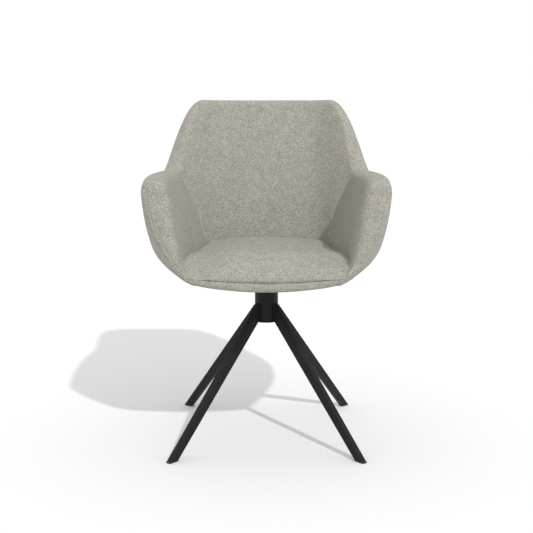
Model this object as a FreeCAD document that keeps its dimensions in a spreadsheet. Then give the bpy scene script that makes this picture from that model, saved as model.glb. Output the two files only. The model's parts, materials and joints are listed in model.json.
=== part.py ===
import FreeCAD, Part
import math
import os
import Sketcher

# Swivel tub chair: four splayed steel legs, a column with a swivel spindle, and an upholstered tub.
# Millimetres, +Z up. The origin is on the floor, on the swivel axis. The sitter faces -Y.

doc = FreeCAD.newDocument("SwivelTubChair")
sheet = doc.addObject("Spreadsheet::Sheet", "Sizes")
Vector = FreeCAD.Vector

# Driving dimensions
SIZES = [
    # legs
    ("leg_angle", 45),
    ("leg_foot_reach", 321),
    ("leg_foot_depth", 24.3),
    ("leg_top_drop", 51),
    ("leg_top_reach", 41.7),
    ("leg_top_depth", 35.5),
    ("leg_thickness", 13.6),
    ("leg_wall", 2),
    ("leg_edge_radius", 1),
    ("glide_height", 3),
    ("glide_plug_height", 14),
    ("glide_plug_clearance", 0.2),
    # column and bearing
    ("column_radius", 29),
    ("column_wall", 4),
    ("column_length", 84),
    ("cap_height", 8),
    ("bush_length", 26),
    ("bush_flange", 3),
    ("lower_bush_lift", 12),
    ("spindle_radius", 12.45),
    ("spindle_clearance", 0.05),
    ("spindle_below_bush", 6),
    ("ring_thickness", 2),
    ("ring_width", 4),
    ("washer_thickness", 2),
    ("running_gap", 0.3),
    # mounting plate
    ("hub_height", 25.7),
    ("hub_foot_radius", 27),
    ("hub_top_radius", 46),
    ("plate_width", 150),
    ("plate_thickness", 5),
    ("plate_corner_radius", 18),
    ("bolt_spacing", 108),
    ("bolt_radius", 3),
    ("bolt_head_radius", 5.25),
    ("bolt_head_height", 3.3),
    ("washer_disc_radius", 8),
    ("washer_disc_thickness", 1.2),
    ("tee_nut_radius", 9),
    ("tee_nut_flange", 1.6),
    ("tee_nut_barrel_radius", 4.2),
    ("tee_nut_barrel_length", 12),
    ("fit_clearance", 0.2),
    # tub layers
    ("cover_thickness", 1.8),
    ("layer_gap", 0.3),
    ("shell_thickness", 8),
    ("shell_below_rim", 26),
    ("shell_flange", 12),
    # tub underside
    ("underside_height", 408),
    ("underside_rise", 10),
    # arm stations, from the front back to the swivel axis and behind it
    ("nose_front", -307),
    ("nose_radius", 15),
    ("nose_inner_share", 0.4),
    ("front_half_width_low", 196),
    ("front_half_width_middle", 261),
    ("front_half_width_rim", 271),
    ("front_inner_half_width", 182),
    ("front_low_rise", 33),
    ("front_rim_rise", 247),
    ("quarter_place", -192),
    ("quarter_half_width_low", 231),
    ("quarter_half_width_middle", 279),
    ("quarter_half_width_rim", 281),
    ("quarter_inner_half_width", 179),
    ("quarter_low_rise", 27),
    ("quarter_rim_rise", 251),
    ("elbow_place", -92),
    ("elbow_half_width_low", 258),
    ("elbow_half_width_middle", 293),
    ("elbow_half_width_rim", 286),
    ("elbow_inner_half_width", 172),
    ("elbow_low_rise", 23),
    ("elbow_rim_rise", 252),
    ("hip_place", 8),
    ("hip_half_width_low", 272),
    ("hip_half_width_middle", 299),
    ("hip_half_width_rim", 290),
    ("hip_inner_half_width", 162),
    ("hip_low_rise", 21),
    ("hip_rim_rise", 252),
    ("rear_place", 68),
    ("rear_half_width_low", 268),
    ("rear_half_width_middle", 296),
    ("rear_half_width_rim", 284),
    ("rear_inner_half_width", 156),
    ("rear_low_rise", 21),
    ("rear_rim_rise", 254),
    ("arm_rim_thickness", 58),
    ("arm_corner_radius", 97),
    ("wall_middle_rise", 152),
    ("wall_middle_radius", 300),
    ("inner_corner_rise", 60),
    ("inner_corner_radius", 40),
    ("inner_undercut", 34),
    ("back_undercut", 6),
    ("rim_drop_inside", 3),
    # back, measured from the centre that the corner stations turn about
    ("corner_centre", 100),
    ("back_reach_low", 152),
    ("back_reach_middle", 184),
    ("back_reach_rim", 243),
    ("back_reach_inside", 76),
    ("back_top_rise", 442),
    ("back_rim_thickness", 42),
    ("back_corner_radius", 85),
    ("back_low_rise", 21),
    ("back_rise_start", 162),
    ("back_rise_end", 109),
    ("seam_angle", 135),
    # seat pan, front rail and seat cushion
    ("pan_lip_thickness", 6.8),
    ("pan_lip_gap", 0.8),
    ("pan_edge_gap", 0.5),
    ("pan_core_gap", 3),
    ("pan_corner_radius", 34),
    ("liner_thickness", 1.8),
    ("rail_depth", 28),
    ("border_height", 24),
    ("seam_radius", 2),
    ("seat_crown_rise", 58),
    ("seat_side_drop", 12),
    ("seat_side_gap", 1.5),
    ("seat_edge_radius", 14),
    ("seat_rear_drop", 8),
    ("seat_front_round", 85),
    ("pan_screw_radius", 2),
    ("pan_screw_head_radius", 4),
    ("pan_screw_head_height", 2),
    ("pan_screw_length", 12),
]

# Heights that follow from the sizes above, each stack counted from the tub's underside
STACKS = [
    ("plate_top", "underside_height - running_gap"),
    ("column_top", "plate_top - plate_thickness - hub_height - washer_thickness - bush_flange"),
    ("column_bottom", "column_top - column_length"),
    ("lower_bush_bottom", "column_bottom + lower_bush_lift"),
    ("leg_top_height", "column_top - leg_top_drop"),
    ("foot_height", "underside_height + underside_rise"),
    ("flange_top", "foot_height + cover_thickness + 2 * layer_gap + shell_thickness"),
    ("pan_top_height", "flange_top + pan_lip_gap + pan_lip_thickness"),
    ("seam_height", "underside_height + border_height"),
    ("seat_crown_height", "seam_height + seat_crown_rise"),
    ("inner_corner_height", "underside_height + inner_corner_rise"),
    ("wall_middle_height", "underside_height + wall_middle_rise"),
    ("back_low_height", "underside_height + back_low_rise"),
    ("back_top_height", "underside_height + back_top_rise"),
]
for station in ("front", "quarter", "elbow", "hip", "rear"):
    STACKS.append((station + "_low_height", "underside_height + %s_low_rise" % station))
    STACKS.append((station + "_rim_height", "underside_height + %s_rim_rise" % station))

for row, (alias, size) in enumerate(SIZES, start=1):
    sheet.set("A%d" % row, alias)
    sheet.set("B%d" % row, str(size))
    sheet.setAlias("B%d" % row, alias)
doc.recompute()
for row, (alias, stack) in enumerate(STACKS, start=len(SIZES) + 1):
    sheet.set("A%d" % row, alias)
    sheet.set("B%d" % row, "=" + stack)
    sheet.setAlias("B%d" % row, alias)
    doc.recompute()

FUNCTIONS = ("cos", "sin", "tan", "atan", "sqrt", "deg")


def value(expression):
    """A size worked out from the sheet's aliases, such as 'column_radius - column_wall'."""
    return float(sheet.evalExpression(bound(expression)))


def bound(expression):
    """The expression with each alias written as a cell of the sheet."""
    words = []
    word = ""
    for letter in expression + " ":
        if letter.isalnum() or letter in "_.":
            word += letter
            continue
        words.append("Sizes." + word if word[:1].isalpha() and word not in FUNCTIONS else word)
        words.append(letter)
        word = ""
    return "".join(words).strip()


# Sketched pieces

def origin_plane(body, role):
    """The body's own origin plane with this role."""
    return [item for item in body.Origin.OriginFeatures if item.Role == role][0]


def sketch_outline(body, name, role, corners):
    """A closed outline of straight edges, with each corner's place bound to the sheet."""
    sketch = body.newObject("Sketcher::SketchObject", name)
    sketch.AttachmentSupport = (origin_plane(body, role), [""])
    sketch.MapMode = "FlatFace"
    places = [(value(across), value(up)) for across, up in corners]
    for place, following in zip(places, places[1:] + places[:1]):
        sketch.addGeometry(Part.LineSegment(Vector(*place, 0), Vector(*following, 0)), False)
    for edge in range(len(places)):
        sketch.addConstraint(Sketcher.Constraint("Coincident", edge, 2, (edge + 1) % len(places), 1))
    for edge, (across, up) in enumerate(corners):
        for kind, expression in (("DistanceX", across), ("DistanceY", up)):
            rule = sketch.addConstraint(Sketcher.Constraint(kind, -1, 1, edge, 1, value(expression)))
            sketch.setExpression("Constraints[%d]" % rule, bound(expression))
    return sketch


def padded_outline(name, corners, thickness, role="XZ_Plane"):
    """A body padded evenly to both sides of the outline's plane."""
    body = doc.addObject("PartDesign::Body", name)
    sketch = sketch_outline(body, name + "_outline", role, corners)
    pad = body.newObject("PartDesign::Pad", name + "_pad")
    pad.Profile = sketch
    pad.SideType = "Symmetric"
    pad.setExpression("Length", bound(thickness))
    doc.recompute()
    return body


def turned(name, corners):
    """A body turned about +Z from a half outline."""
    body = doc.addObject("PartDesign::Body", name)
    sketch = sketch_outline(body, name + "_outline", "XZ_Plane", corners)
    turn = body.newObject("PartDesign::Revolution", name + "_turn")
    turn.Profile = sketch
    turn.ReferenceAxis = (sketch, ["V_Axis"])
    turn.Angle = 360
    doc.recompute()
    return body


def cut(name, base, tool):
    """The base with the tool cut away."""
    result = doc.addObject("Part::Cut", name)
    result.Base = base
    result.Tool = tool
    doc.recompute()
    return result


def cylinder(name, radius, height, across, along, up):
    """A round bar along +Z, its sizes and place bound to the sheet."""
    bar = doc.addObject("Part::Cylinder", name)
    bar.setExpression("Radius", bound(radius))
    bar.setExpression("Height", bound(height))
    bar.setExpression("Placement.Base.x", bound(across))
    bar.setExpression("Placement.Base.y", bound(along))
    bar.setExpression("Placement.Base.z", bound(up))
    doc.recompute()
    return bar


NODES = {}


def node(label, piece):
    """Keep a finished piece under the name of its file."""
    piece.Label = label
    NODES[label] = piece
    return piece


# Legs, in the plane of +X and +Z first, then turned about +Z

def leg_reach(side, height):
    """Reach from the axis of a leg's outer (0) or inner (1) edge at a height, as an expression."""
    foot = "leg_foot_reach - %d * leg_foot_depth" % side
    top = "leg_top_reach - %d * leg_top_depth" % side
    return "%s + (%s - (%s)) * (%s) / leg_top_height" % (foot, top, foot, height)


def leg_corners(bottom, top, inset):
    """The leg's outline between two heights, drawn in from its sloping edges."""
    return [
        (leg_reach(1, bottom) + " + " + inset, bottom),
        (leg_reach(0, bottom) + " - (" + inset + ")", bottom),
        (leg_reach(0, top) + " - (" + inset + ")", top),
        (leg_reach(1, top) + " + " + inset, top),
    ]


LEG_STEP = "1.35 * leg_wall"
LEG_END = "leg_top_height + 40"


def make_leg(place, turn):
    outer = padded_outline(place + "_leg_bar", leg_corners("glide_height", LEG_END, "0"), "leg_thickness")
    bar = outer.Tip
    rounded = outer.newObject("PartDesign::Fillet", place + "_leg_edges")
    long_edges = []
    for number, edge in enumerate(bar.Shape.Edges, start=1):
        rise = abs(edge.Vertexes[0].Point.z - edge.Vertexes[1].Point.z)
        if rise > 1:
            long_edges.append("Edge%d" % number)
    rounded.Base = (bar, long_edges)
    rounded.setExpression("Radius", bound("leg_edge_radius"))
    doc.recompute()
    hollow = padded_outline(
        place + "_leg_hollow",
        leg_corners("glide_height - 5", LEG_END, LEG_STEP),
        "leg_thickness - 2 * leg_wall",
    )
    tube = cut(place + "_leg_tube", outer, hollow)
    column = cylinder(place + "_leg_cope", "column_radius", "column_top", "0", "0", "0")
    above = cylinder(place + "_leg_top", "column_radius * 3", "100", "0", "0", "column_top - 20")
    coped = cut(place + "_leg_coped", tube, column)
    leg = cut(place + "_leg", coped, above)
    leg.Placement = FreeCAD.Placement(Vector(0, 0, 0), FreeCAD.Rotation(Vector(0, 0, 1), turn))
    node("leg_" + place, leg)
    foot = leg_corners("0", "glide_height", "0")
    plug = leg_corners("glide_height", "glide_plug_height", LEG_STEP + " + glide_plug_clearance")
    sole = padded_outline(place + "_glide_sole", foot, "leg_thickness")
    stem = padded_outline(
        place + "_glide_plug", plug, "leg_thickness - 2 * leg_wall - 2 * glide_plug_clearance"
    )
    glide = doc.addObject("Part::Fuse", place + "_glide")
    glide.Base = sole
    glide.Tool = stem
    glide.Refine = True
    doc.recompute()
    glide.Placement = leg.Placement
    node("glide_" + place, glide)


def make_legs():
    angle = value("leg_angle")
    make_leg("front_left", 180 + angle)
    make_leg("front_right", -angle)
    make_leg("rear_left", 180 - angle)
    make_leg("rear_right", angle)


# Column and swivel bearing

BORE = "column_radius - column_wall"
SPINDLE_HOLE = "spindle_radius + spindle_clearance"
LOWER_BUSH_TOP = "lower_bush_bottom + bush_length"
WASHER_TOP = "column_top + bush_flange + washer_thickness"
HUB_FOOT = WASHER_TOP + " + running_gap"
PLATE_BOTTOM = "plate_top - plate_thickness"
PLATE_TOP = "plate_top"
RING_TOP = "lower_bush_bottom - running_gap"
SPINDLE_FOOT = "lower_bush_bottom - spindle_below_bush"


def ring_corners(inner, outer, bottom, top):
    return [(inner, bottom), (outer, bottom), (outer, top), (inner, top)]


def make_column():
    tube = turned("column", ring_corners(BORE, "column_radius", "column_bottom", "column_top"))
    node("column_tube", tube)
    cap = turned("cap", ring_corners("0", BORE, "column_bottom", "column_bottom + cap_height"))
    groove = cylinder(
        "cap_hollow", BORE + " - column_wall", "cap_height", "0", "0", "column_bottom + cap_height / 2"
    )
    node("column_bottom_cap", cut("column_cap", cap, groove))
    lower = turned("lower_sleeve", ring_corners(SPINDLE_HOLE, BORE, "lower_bush_bottom", LOWER_BUSH_TOP))
    node("lower_bush", lower)
    upper = turned(
        "upper_sleeve",
        [
            (SPINDLE_HOLE, "column_top - bush_length"),
            (BORE, "column_top - bush_length"),
            (BORE, "column_top"),
            ("column_radius", "column_top"),
            ("column_radius", "column_top + bush_flange"),
            (SPINDLE_HOLE, "column_top + bush_flange"),
        ],
    )
    node("upper_bush", upper)
    washer = turned(
        "thrust",
        ring_corners(SPINDLE_HOLE, "hub_foot_radius", "column_top + bush_flange", WASHER_TOP),
    )
    node("thrust_washer", washer)


def make_swivel():
    """What turns with the seat: spindle, ring in its groove, hub and plate."""
    groove_depth = "ring_width / 4"
    spindle = turned(
        "spindle",
        [
            ("0", SPINDLE_FOOT),
            ("spindle_radius", SPINDLE_FOOT),
            ("spindle_radius", RING_TOP + " - ring_thickness"),
            ("spindle_radius - " + groove_depth, RING_TOP + " - ring_thickness"),
            ("spindle_radius - " + groove_depth, RING_TOP),
            ("spindle_radius", RING_TOP),
            ("spindle_radius", PLATE_BOTTOM),
            ("0", PLATE_BOTTOM),
        ],
    )
    node("swivel_spindle", spindle)
    ring = turned(
        "ring",
        ring_corners(
            "spindle_radius - " + groove_depth,
            "spindle_radius - " + groove_depth + " + ring_width",
            RING_TOP + " - ring_thickness",
            RING_TOP,
        ),
    )
    node("retaining_ring", ring)
    hub = turned(
        "hub",
        [
            ("spindle_radius", HUB_FOOT),
            ("hub_foot_radius", HUB_FOOT),
            ("hub_foot_radius", HUB_FOOT + " + 6"),
            ("hub_top_radius", PLATE_BOTTOM + " - 5"),
            ("hub_top_radius", PLATE_BOTTOM),
            ("spindle_radius", PLATE_BOTTOM),
        ],
    )
    node("swivel_hub", hub)


def bolt_places():
    half = "bolt_spacing / 2"
    return [
        ("front_left", "-" + half, "-" + half),
        ("front_right", half, "-" + half),
        ("rear_left", "-" + half, half),
        ("rear_right", half, half),
    ]


def make_plate():
    body = doc.addObject("PartDesign::Body", "plate")
    half = "plate_width / 2"
    sketch = sketch_outline(
        body,
        "plate_outline",
        "XY_Plane",
        [("-" + half, "-" + half), (half, "-" + half), (half, half), ("-" + half, half)],
    )
    pad = body.newObject("PartDesign::Pad", "plate_pad")
    pad.Profile = sketch
    pad.setExpression("Length", bound("plate_thickness"))
    doc.recompute()
    upright = []
    for number, edge in enumerate(pad.Shape.Edges, start=1):
        if abs(edge.Vertexes[0].Point.z - edge.Vertexes[1].Point.z) > 0.5 * value("plate_thickness"):
            upright.append("Edge%d" % number)
    corners = body.newObject("PartDesign::Fillet", "plate_corners")
    corners.Base = (pad, upright)
    corners.setExpression("Radius", bound("plate_corner_radius"))
    doc.recompute()
    body.setExpression("Placement.Base.z", bound(PLATE_BOTTOM))
    plate = body
    for place, across, along in bolt_places():
        hole = cylinder(
            "plate_hole_" + place, "bolt_radius + fit_clearance", "plate_thickness", across, along, PLATE_BOTTOM
        )
        plate = cut("plate_drilled_" + place, plate, hole)
    node("mounting_plate", plate)


def part_feature(name, shape):
    """A piece whose shape is worked out here from the sheet's sizes."""
    feature = doc.addObject("Part::Feature", name)
    feature.Shape = shape
    feature.Placement = FreeCAD.Placement()
    return feature


def round_bar(radius, bottom, top, centre=(0, 0)):
    return Part.makeCylinder(radius, top - bottom, Vector(centre[0], centre[1], bottom))


def make_bolts():
    """Each bolt with its washer below the plate and its tee nut in the seat pan."""
    pan_top = value("pan_top_height")
    plate_bottom = value(PLATE_BOTTOM)
    radius = value("bolt_radius")
    washer = value("washer_disc_thickness")
    head = value("bolt_head_height")
    flange = value("tee_nut_flange")
    for place, across, along in bolt_places():
        centre = (value(across), value(along))
        under_washer = plate_bottom - washer
        shank = round_bar(radius, under_washer, pan_top, centre)
        cap_head = round_bar(value("bolt_head_radius"), under_washer - head, under_washer, centre)
        lower_edges = [edge for edge in cap_head.Edges if edge.BoundBox.ZMax < under_washer - 0.5 * head]
        cap_head = cap_head.makeFillet(0.35 * head, lower_edges)
        socket = round_bar(0.5 * value("bolt_head_radius"), under_washer - head, under_washer - 0.4 * head, centre)
        node("plate_bolt_" + place, part_feature("bolt_" + place, shank.fuse(cap_head).cut(socket).removeSplitter()))
        disc = round_bar(value("washer_disc_radius"), under_washer, plate_bottom, centre)
        hole = round_bar(radius + value("fit_clearance"), under_washer, plate_bottom, centre)
        node("plate_washer_" + place, part_feature("washer_" + place, disc.cut(hole)))
        barrel = round_bar(
            value("tee_nut_barrel_radius"), pan_top - value("tee_nut_barrel_length"), pan_top, centre
        )
        rim = round_bar(value("tee_nut_radius"), pan_top - flange, pan_top, centre)
        thread = round_bar(radius, pan_top - value("tee_nut_barrel_length"), pan_top, centre)
        node("tee_nut_" + place, part_feature("nut_" + place, barrel.fuse(rim).cut(thread).removeSplitter()))


# Tub wall: one section that changes from station to station around the sitter

def crossing(first, first_way, second, second_way):
    """Where two lines cross, each given by a point and a direction."""
    determinant = first_way[0] * second_way[1] - first_way[1] * second_way[0]
    across, up = second[0] - first[0], second[1] - first[1]
    share = (across * second_way[1] - up * second_way[0]) / determinant
    return (first[0] + share * first_way[0], first[1] + share * first_way[1])


def moved_in(corners, distances):
    """A closed outline, drawn anticlockwise, with each edge moved in by its own distance."""
    edges = []
    for corner, following, distance in zip(corners, corners[1:] + corners[:1], distances):
        way = (following[0] - corner[0], following[1] - corner[1])
        length = math.hypot(*way)
        normal = (-way[1] / length, way[0] / length)
        edges.append(((corner[0] + normal[0] * distance, corner[1] + normal[1] * distance), way))
    return [crossing(*edges[index - 1], *edges[index]) for index in range(len(edges))]


def way_to(start, end):
    """The direction from one point to another, and how far it is."""
    length = math.hypot(end[0] - start[0], end[1] - start[1])
    return ((end[0] - start[0]) / length, (end[1] - start[1]) / length), length


def rounded_loop(corners, radii, place):
    """A closed wire of lines and arcs through rounded corners; place turns (u, z) into a point.

    Two roundings never take more than the edge between them.
    """
    count = len(corners)
    halves, tangents, lengths = [], [], []
    for index, corner in enumerate(corners):
        back = way_to(corner, corners[index - 1])[0]
        ahead, length = way_to(corner, corners[(index + 1) % count])
        half = 0.5 * math.acos(max(-1, min(1, back[0] * ahead[0] + back[1] * ahead[1])))
        halves.append(half)
        tangents.append(radii[index] / math.tan(half))
        lengths.append(length)
    shares = []
    for index in range(count):
        room_ahead = 0.96 * lengths[index] / (tangents[index] + tangents[(index + 1) % count])
        room_back = 0.96 * lengths[index - 1] / (tangents[index - 1] + tangents[index])
        shares.append(min(1, room_ahead, room_back))
    starts, middles, ends = [], [], []
    for index, corner in enumerate(corners):
        back = way_to(corner, corners[index - 1])[0]
        ahead = way_to(corner, corners[(index + 1) % count])[0]
        tangent = tangents[index] * shares[index]
        radius = radii[index] * shares[index]
        bisector = (back[0] + ahead[0], back[1] + ahead[1])
        depth = (radius / math.sin(halves[index]) - radius) / math.hypot(*bisector)
        starts.append((corner[0] + back[0] * tangent, corner[1] + back[1] * tangent))
        ends.append((corner[0] + ahead[0] * tangent, corner[1] + ahead[1] * tangent))
        middles.append((corner[0] + bisector[0] * depth, corner[1] + bisector[1] * depth))
    edges = []
    for index in range(count):
        edges.append(Part.Arc(place(starts[index]), place(middles[index]), place(ends[index])).toShape())
        edges.append(Part.LineSegment(place(ends[index]), place(starts[(index + 1) % count])).toShape())
    return Part.Wire(edges)


def oval(side, depth, squareness, angle):
    """Reach at an angle of an oval whose corners are fuller than an ellipse's above 2."""
    across = abs(math.cos(angle)) / side
    along = abs(math.sin(angle)) / depth
    return (across ** squareness + along ** squareness) ** (-1 / squareness)


def arm_station(name):
    """Sizes of the wall in a plane square to Y, half widths measured from the corner centre."""
    centre = value("corner_centre")
    return {
        "low": value(name + "_half_width_low") - centre,
        "low_height": value(name + "_low_height"),
        "middle": value(name + "_half_width_middle") - centre,
        "middle_height": value("wall_middle_height"),
        "rim": value(name + "_half_width_rim") - centre,
        "rim_height": value(name + "_rim_height"),
        "rim_thickness": value("arm_rim_thickness"),
        "inner": value(name + "_inner_half_width") - centre,
        "undercut": value("inner_undercut"),
        "corner_radius": value("arm_corner_radius"),
    }


LOW_SQUARENESS = 2.3
RIM_SQUARENESS = 1.95
INNER_SQUARENESS = 3.0


def back_station(degrees):
    """Sizes of the wall in an upright plane turned from the side (180) to the back (90)."""
    side = arm_station("rear")
    angle = math.radians(degrees)
    share = (180 - degrees) / 90
    rise = (value("back_rise_start") - degrees) / (value("back_rise_start") - value("back_rise_end"))
    rise = max(0, min(1, rise))
    rise = rise * rise * (3 - 2 * rise)
    rim_height = side["rim_height"] + (value("back_top_height") - side["rim_height"]) * rise

    def between(start, end):
        return start + (end - start) * share

    return {
        "low": oval(side["low"], value("back_reach_low"), LOW_SQUARENESS, angle),
        "low_height": between(side["low_height"], value("back_low_height")),
        "middle": oval(side["middle"], value("back_reach_middle"), RIM_SQUARENESS, angle),
        "middle_height": value("wall_middle_height") + 0.5 * (rim_height - side["rim_height"]),
        "rim": oval(side["rim"], value("back_reach_rim"), RIM_SQUARENESS, angle),
        "rim_height": rim_height,
        "rim_thickness": between(side["rim_thickness"], value("back_rim_thickness")),
        "inner": oval(side["inner"], value("back_reach_inside"), INNER_SQUARENESS, angle),
        "undercut": between(side["undercut"], value("back_undercut")),
        "corner_radius": between(side["corner_radius"], value("back_corner_radius")),
    }


def wall_outline(size):
    """The wall's six corners and their radii, anticlockwise from the foot inside."""
    foot_height = value("foot_height")
    corners = [
        (size["inner"] - size["undercut"], foot_height),
        (size["low"], size["low_height"]),
        (size["middle"], size["middle_height"]),
        (size["rim"], size["rim_height"]),
        (size["rim"] - size["rim_thickness"], size["rim_height"] - value("rim_drop_inside")),
        (size["inner"], value("inner_corner_height")),
    ]
    rim_radius = 0.47 * size["rim_thickness"]
    radii = [
        3.0,
        size["corner_radius"],
        value("wall_middle_radius"),
        rim_radius,
        rim_radius,
        value("inner_corner_radius"),
    ]
    return corners, radii


INNER_CORNER = 5


def wall_loop(size, place, inset, nose=0):
    """The closed section of the wall, moved in by the layer's depth and by the rounding of the nose."""
    corners, radii = wall_outline(size)
    inner_nose = nose * value("nose_inner_share")
    turned_in = [nose, nose, nose, nose, inner_nose, 0]
    moved = moved_in(corners, [inset + part for part in turned_in])
    eased = []
    for index, radius in enumerate(radii):
        change = inset + turned_in[index]
        eased.append(max(0.8, radius + change if index == INNER_CORNER else radius - change))
    return rounded_loop(moved, eased, place)


def path_moved_in(path, depth):
    """An open path moved in to its left by a depth, its ends kept square."""
    ways = []
    for corner, following in zip(path, path[1:]):
        length = math.hypot(following[0] - corner[0], following[1] - corner[1])
        ways.append(((following[0] - corner[0]) / length, (following[1] - corner[1]) / length))
    moved = []
    for index, corner in enumerate(path):
        way = ways[min(index, len(ways) - 1)]
        point = (corner[0] - way[1] * depth, corner[1] + way[0] * depth)
        if 0 < index < len(path) - 1:
            before = ways[index - 1]
            earlier = (corner[0] - before[1] * depth, corner[1] + before[0] * depth)
            point = crossing(earlier, before, point, way)
        moved.append(point)
    return moved


def point_at_height(start, end, height):
    share = (height - start[1]) / (end[1] - start[1])
    return (start[0] + (end[0] - start[0]) * share, height)


def shell_path(size):
    """The wall's outside from the shell's foot flange to the shell's top edge."""
    foot, low, middle, rim = wall_outline(size)[0][:4]
    fall = 2 * value("underside_rise") / foot_half_width("front")
    start = (foot[0] - value("shell_flange"), foot[1] - value("shell_flange") * fall)
    return [start, foot, low, middle, point_at_height(middle, rim, rim[1] - value("shell_below_rim"))]


def shell_section(outer, inner):
    """Sections of a strip along the wall's outside, between two depths."""

    def section(size, place, nose):
        outline = path_moved_in(shell_path(size), outer) + path_moved_in(shell_path(size), inner)[::-1]
        low_radius, middle_radius = wall_outline(size)[1][1:3]
        end = 0.8
        rounding = [end, end, low_radius - outer, middle_radius - outer, end]
        rounding += [end, middle_radius - inner, low_radius - inner, end, end]
        return rounded_loop(outline, rounding, place)

    return section


def shell_depths():
    """How deep the shell's two faces lie below the wall's outside."""
    outer = value("cover_thickness") + 2 * value("layer_gap")
    return outer, outer + value("shell_thickness")


ARM_STATIONS = ("front", "quarter", "elbow", "hip", "rear")
CORNER_STEPS = 8
NOSE_ANGLES = (90, 65, 40, 18)


def side_plane(along, side):
    centre = value("corner_centre")
    return lambda point: Vector(side * (centre + point[0]), along, point[1])


def turned_plane(degrees, side):
    centre, behind = value("corner_centre"), value("rear_place")
    across, along = -math.cos(math.radians(degrees)), math.sin(math.radians(degrees))
    return lambda point: Vector(side * (centre + point[0] * across), behind + point[0] * along, point[1])


def middle_plane(point):
    return Vector(0, value("rear_place") + point[0], point[1])


def station_place(name):
    """Where a station's plane stands along Y; the front one is where the nose starts to round."""
    if name == "front":
        return value("nose_front") + value("nose_radius")
    return value(name + "_place")


def nose_stations(side, inset):
    """Stations from the flat of the nose back to the front station."""
    stations = []
    radius = value("nose_radius")
    for degrees in NOSE_ANGLES + (0,):
        angle = math.radians(degrees)
        along = value("nose_front") + radius - (radius - inset) * math.sin(angle)
        nose = (radius - inset) * (1 - math.cos(angle))
        stations.append((arm_station("front"), side_plane(along, side), nose))
    return stations


def corner_angles(start, end):
    """Even steps round the corner, from one angle to another."""
    steps = max(1, round(CORNER_STEPS * abs(end - start) / 90))
    return [start + (end - start) * step / steps for step in range(steps + 1)]


def arm_stations(side, front=None):
    """Stations of an arm behind its nose, up to the seam with the back."""
    places = {name: station_place(name) for name in ARM_STATIONS}
    if front is not None:
        places["front"] = front
    stations = [(arm_station(name), side_plane(places[name], side), 0) for name in ARM_STATIONS]
    for degrees in corner_angles(180, value("seam_angle"))[1:]:
        stations.append((back_station(degrees), turned_plane(degrees, side), 0))
    return stations


def back_stations():
    """Stations of the back, from the left seam to the right one."""
    angles = corner_angles(value("seam_angle"), 90)
    left = [(back_station(degrees), turned_plane(degrees, -1), 0) for degrees in angles]
    right = [(back_station(degrees), turned_plane(degrees, 1), 0) for degrees in reversed(angles)]
    return left + [(back_station(90), middle_plane, 0)] + right


def loft(section, stations):
    """A solid through the section at each station."""
    return Part.makeLoft([section(size, place, nose) for size, place, nose in stations], True, True)


def wall_section(inset):
    return lambda size, place, nose: wall_loop(size, place, inset, nose)


def shell_solid(outer, inner, front):
    """The moulded shell, or the room that it takes, from one arm round the back to the other."""
    left, right = arm_stations(-1, front), arm_stations(1, front)
    return loft(shell_section(outer, inner), left + back_stations()[1:-1] + right[::-1])


def shell_front():
    return pan_front() + value("layer_gap")


def make_seat_shell():
    shell = shell_solid(*shell_depths(), shell_front())
    for bar in pan_screw_bars(value("pan_screw_radius")):
        shell = shell.cut(bar)
    node("seat_shell", part_feature("shell", shell))


def make_walls():
    """Foam and cover of both arms and of the back; the foam wraps over the shell's top edge."""
    skin, gap = value("cover_thickness"), value("layer_gap")
    depth = skin + gap
    shell_outer, shell_inner = shell_depths()
    room = shell_solid(-2 * skin, shell_inner + gap, shell_front() - gap)
    passage = shell_solid(shell_outer - gap, shell_inner + gap, shell_front() - gap)
    stations = {
        "arm_%s_left": lambda inset: nose_stations(-1, inset)[:-1] + arm_stations(-1),
        "arm_%s_right": lambda inset: nose_stations(1, inset)[:-1] + arm_stations(1),
        "back_%s": lambda inset: back_stations(),
    }
    for name, places in stations.items():
        outside, lining, foam = [loft(wall_section(inset), places(inset)) for inset in (0, skin, depth)]
        cover = outside.cut(lining).cut(passage)
        node(name % "cover", part_feature(name % "cover" + "_shape", one_solid(cover)))
        node(name % "foam", part_feature(name % "foam" + "_shape", one_solid(foam.cut(room))))


def one_solid(shape):
    """The shape's only solid; more than one means that two sizes have cut a piece apart."""
    if len(shape.Solids) != 1:
        raise RuntimeError("a piece of the wall came out as %d solids" % len(shape.Solids))
    return shape.Solids[0]


# Seat pan, front rail and cushion between the walls

def foot_half_width(name):
    """Half width between the feet of the two walls at a station."""
    return value(name + "_inner_half_width") - value("inner_undercut")


def foot_rear():
    """Where the foot of the back stands on the middle plane."""
    return value("rear_place") + value("back_reach_inside") - value("back_undercut")


def plan_outline(margin):
    """The floor of the tub between the feet of the walls, each edge moved out by the margin."""
    rear = foot_rear() + margin
    ends = [("front", pan_front()), ("elbow", value("elbow_place")), ("rear", value("rear_place"))]
    right = [(foot_half_width(name) + margin, along) for name, along in ends]
    rounding = value("pan_corner_radius")
    corner = (right[-1][0], rear)
    points = [Vector(across, along, 0) for across, along in right]
    bend_start = Vector(corner[0], rear - rounding, 0)
    bend = Vector(corner[0] - 0.3 * rounding, rear - 0.3 * rounding, 0)
    bend_end = Vector(corner[0] - rounding, rear, 0)
    mirrored = lambda point: Vector(-point.x, point.y, 0)
    edges = []
    for start, end in zip(points, points[1:] + [bend_start]):
        edges.append(Part.LineSegment(start, end).toShape())
        edges.append(Part.LineSegment(mirrored(start), mirrored(end)).toShape())
    edges.append(Part.Arc(bend_start, bend, bend_end).toShape())
    edges.append(Part.Arc(mirrored(bend_start), mirrored(bend), mirrored(bend_end)).toShape())
    edges.append(Part.LineSegment(bend_end, mirrored(bend_end)).toShape())
    edges.append(Part.LineSegment(points[0], mirrored(points[0])).toShape())
    return Part.Face(Part.Wire(Part.__sortEdges__(edges)))


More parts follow.
